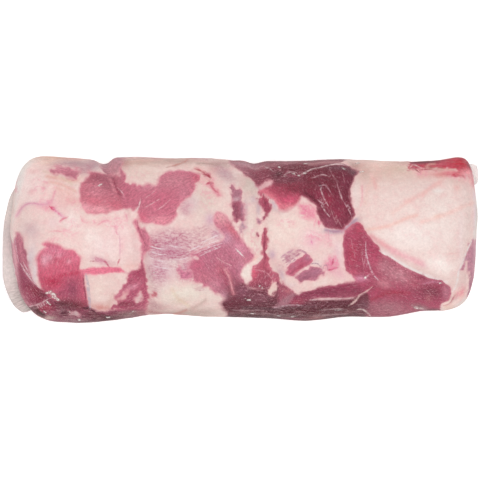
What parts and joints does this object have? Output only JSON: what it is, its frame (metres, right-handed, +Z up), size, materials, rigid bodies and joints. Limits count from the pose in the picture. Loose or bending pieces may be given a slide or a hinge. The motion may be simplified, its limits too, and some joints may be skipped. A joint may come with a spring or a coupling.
{
  "type": "vacuum-packed boneless pork picnic shoulder",
  "caption": "Raw boneless pork picnic shoulder in a tight clear vacuum bag, a long cushion-shaped log lying on its flat underside, with spare film at its ends.",
  "frame": {"origin": "middle of the bounding box, on the flat underside that it lies on", "axes": "+X along the log towards the end with the thick fat slab, +Y across it, +Z up"},
  "size_m": [0.4104, 0.1452, 0.098],
  "materials": {
    "pork_under_film": "raw pork, lean and fat, wet under tight clear film",
    "clear_film": "clear shrink film, smooth, with fine creases"
  },
  "bodies": {
    "root": {"sealed_bag": "pork_under_film"}
  },
  "joints": []
}
